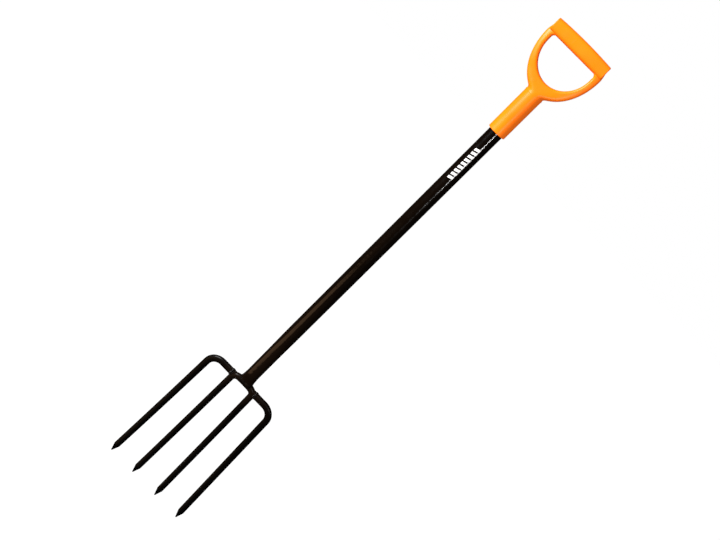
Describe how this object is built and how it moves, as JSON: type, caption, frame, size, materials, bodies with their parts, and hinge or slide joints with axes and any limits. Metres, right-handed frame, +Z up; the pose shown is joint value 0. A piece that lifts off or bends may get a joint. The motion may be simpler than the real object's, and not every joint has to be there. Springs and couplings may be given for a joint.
{
  "type": "garden digging fork",
  "caption": "Digging fork with straight pointed steel tines welded below a cranked tubular steel shaft and a moulded plastic D-handle on top.",
  "frame": {"origin": "On the axis of the straight upper shaft, level with the tine tips, which is within 6 mm of the middle of the underside of the bounding box.", "axes": "+Z runs up the shaft to the grip, the front that carries the printed mark faces -Y, and +X is to the right as seen from the front. Metres."},
  "size_m": [0.2018, 0.0468, 1.2126],
  "materials": {
    "handle_plastic": "moulded orange, semi-gloss, fine grain",
    "screw_steel": "bright zinc plated",
    "shaft_paint": "black gloss powder coat",
    "mark_ink": "white screen-print ink",
    "weld_paint": "black paint over weld ripples",
    "tine_paint": "black satin-gloss paint, slightly uneven"
  },
  "bodies": {
    "root": {"d_handle": "handle_plastic", "handle_screw": "screw_steel", "shaft_tube": "shaft_paint", "printed_mark": "mark_ink", "neck_weld": "weld_paint", "inner_tine_bow": "tine_paint", "outer_tine_right": "tine_paint", "outer_tine_left": "tine_paint", "shoulder_weld_right": "weld_paint", "shoulder_weld_left": "weld_paint"}
  },
  "joints": []
}
